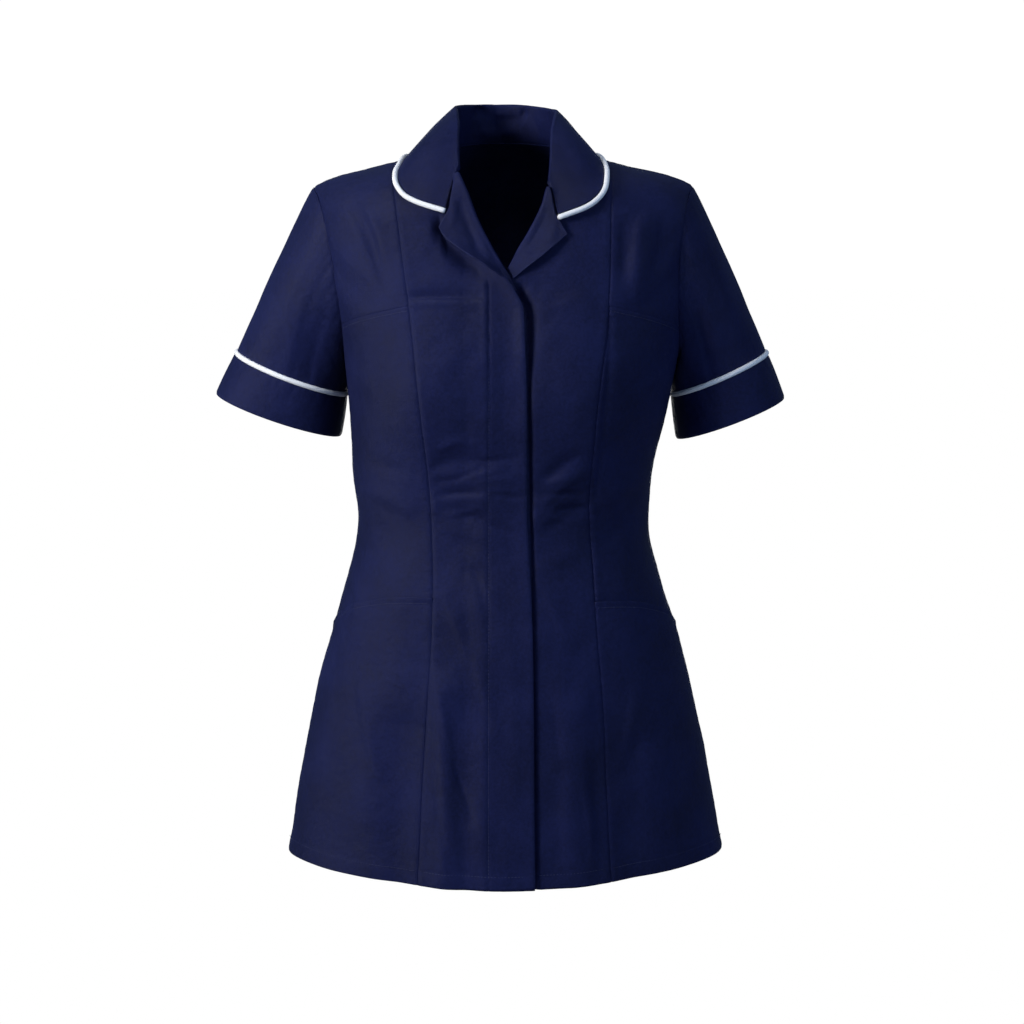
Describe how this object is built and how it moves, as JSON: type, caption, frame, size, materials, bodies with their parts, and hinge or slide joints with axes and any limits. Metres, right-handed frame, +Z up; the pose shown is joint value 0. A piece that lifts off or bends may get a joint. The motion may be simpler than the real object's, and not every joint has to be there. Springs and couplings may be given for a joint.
{
  "type": "work tunic",
  "caption": "Short-sleeved fitted work tunic with turned-down collar, lapels, princess seams, hip pockets and piped edges, filled out as worn and hollow.",
  "frame": {"origin": "middle of the neck's base, level with the side neck points, where the wearer's shoulders hold the tunic up", "axes": "+Z up, -Y towards the front of the tunic, +X towards the wearer's left"},
  "size_m": [0.5718, 0.267, 0.754],
  "materials": {
    "navy_cloth": "matt woven twill",
    "white_piping": "matt bias strip over a cord"
  },
  "bodies": {
    "root": {"front_right": "navy_cloth", "front_left": "navy_cloth", "side_front_right": "navy_cloth", "side_front_left": "navy_cloth", "yoke_front_right": "navy_cloth", "yoke_front_left": "navy_cloth", "back": "navy_cloth", "pocket_right": "navy_cloth", "pocket_left": "navy_cloth", "sleeve_right": "navy_cloth", "sleeve_left": "navy_cloth", "cuff_right": "navy_cloth", "cuff_left": "navy_cloth", "lapel_right": "navy_cloth", "lapel_left": "navy_cloth", "collar": "navy_cloth", "cuff_piping_right": "white_piping", "cuff_piping_left": "white_piping", "collar_piping": "white_piping"}
  },
  "joints": []
}
